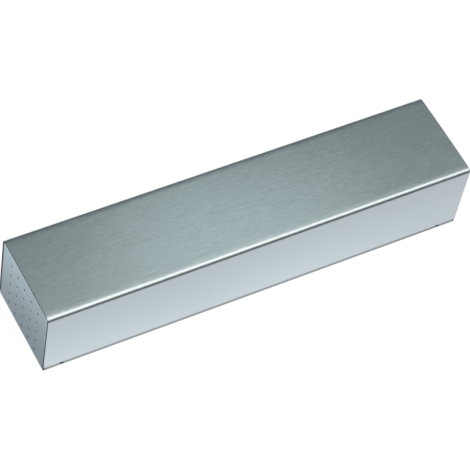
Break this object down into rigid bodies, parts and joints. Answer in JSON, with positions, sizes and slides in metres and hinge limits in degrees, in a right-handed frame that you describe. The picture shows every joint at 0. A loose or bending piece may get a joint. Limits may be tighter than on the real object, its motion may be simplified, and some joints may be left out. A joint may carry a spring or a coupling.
{
  "type": "overhead door closer",
  "caption": "Surface-mounted overhead door closer: rack and pinion in a cast barrel with closing spring and oil valves, under a folded brushed steel cover with perforated ends.",
  "frame": {"origin": "centre of the mounting plate's back face, which is the centre of the four fixing holes", "axes": "+X along the cover, from the viewed end to the far end; +Y across it, towards the side where the spindle comes out; +Z out of the door, from the plate's back to the cover's face"},
  "size_m": [0.285, 0.0728, 0.0536],
  "materials": {
    "cover_steel": "stainless steel, brushed along the cover's length",
    "end_steel": "stainless steel, fine satin",
    "zinc_plate": "rolled sheet steel, zinc plated",
    "zinc_screws": "bright zinc plating",
    "clip_steel": "blued spring steel",
    "cast_body": "aluminium casting in silver-grey powder coat",
    "grey_plastic": "fine grained moulding",
    "plug_steel": "turned and zinc plated",
    "seal_rubber": "smooth nitrile rubber",
    "spindle_steel": "hardened and ground",
    "bearing_bronze": "sintered bronze",
    "piston_steel": "ground steel",
    "ball_steel": "polished bearing balls",
    "spring_steel": "oil tempered wire, shot peened",
    "valve_brass": "turned brass"
  },
  "bodies": {
    "closer": {"mounting_plate": "zinc_plate", "plate_screws": "zinc_screws", "cover_clips": "clip_steel", "closer_body": "cast_body", "gallery_ball": "ball_steel", "slot_insert": "grey_plastic", "left_plug": "plug_steel", "right_plug": "plug_steel", "left_plug_seal": "seal_rubber", "right_plug_seal": "seal_rubber", "adjuster_seal": "seal_rubber", "upper_bearing": "bearing_bronze", "lower_bearing": "bearing_bronze", "upper_cap": "plug_steel", "lower_cap": "plug_steel", "upper_cap_seal": "seal_rubber", "lower_cap_seal": "seal_rubber", "spindle_seal": "seal_rubber"},
    "cover": {"cover_channel": "cover_steel", "end_plate_left": "end_steel", "end_plate_right": "end_steel"},
    "spindle": {"pinion_spindle": "spindle_steel"},
    "piston_group": {"piston": "piston_steel", "check_ring": "piston_steel", "relief_screw": "zinc_screws", "relief_spring": "spring_steel"},
    "check_valve": {"check_ball": "ball_steel"},
    "relief_valve": {"relief_ball": "ball_steel"},
    "adjuster": {"adjuster_screw": "spindle_steel"},
    "seat": {"spring_seat": "plug_steel", "main_spring": "spring_steel"},
    "latching": {"latching_valve": "valve_brass", "latching_valve_seal": "seal_rubber"},
    "closing": {"closing_valve": "valve_brass", "closing_valve_seal": "seal_rubber"},
    "backcheck": {"backcheck_valve": "valve_brass", "backcheck_valve_seal": "seal_rubber"}
  },
  "joints": [
    {"name": "cover_lift", "type": "slide", "parent": "closer", "child": "cover", "axis": [0, 0, 1], "range_m": [0, 0.065]},
    {"name": "spindle_turn", "type": "hinge", "parent": "closer", "child": "spindle", "pos_m": [0.047, 0, 0.027], "axis": [0, -1, 0], "range_deg": [0, 180]},
    {"name": "piston_slide", "type": "slide", "parent": "closer", "child": "piston_group", "axis": [-1, 0, 0], "range_m": [0, 0.02827], "stiffness_N_per_m": 43600, "deforming": ["main_spring"]},
    {"name": "check_ball_lift", "type": "slide", "parent": "piston_group", "child": "check_valve", "axis": [1, 0, 0], "range_m": [0, 0.0015]},
    {"name": "relief_ball_lift", "type": "slide", "parent": "piston_group", "child": "relief_valve", "axis": [-1, 0, 0], "range_m": [0, 0.0008], "stiffness_N_per_m": 500, "deforming": ["relief_spring"]},
    {"name": "adjuster_turn", "type": "hinge", "parent": "closer", "child": "adjuster", "pos_m": [-0.122, 0, 0.027], "axis": [1, 0, 0], "range_deg": [0, 3845]},
    {"name": "spring_seat_slide", "type": "slide", "parent": "closer", "child": "seat", "axis": [1, 0, 0], "range_m": [0, 0.016], "deforming": ["main_spring"]},
    {"name": "latching_valve_turn", "type": "hinge", "parent": "closer", "child": "latching", "pos_m": [0.062, -0.0175, 0.0407], "axis": [0, 0, 1], "range_deg": [0, 360]},
    {"name": "closing_valve_turn", "type": "hinge", "parent": "closer", "child": "closing", "pos_m": [0.076, -0.0175, 0.0407], "axis": [0, 0, 1], "range_deg": [0, 360]},
    {"name": "backcheck_valve_turn", "type": "hinge", "parent": "closer", "child": "backcheck", "pos_m": [0.09, -0.0175, 0.0407], "axis": [0, 0, 1], "range_deg": [0, 360]}
  ],
  "couplings": [
    {"joint": "spindle_turn", "follows": "piston_slide", "rad_per_m": 111.11},
    {"joint": "adjuster_turn", "follows": "spring_seat_slide", "rad_per_m": 4188.8}
  ]
}
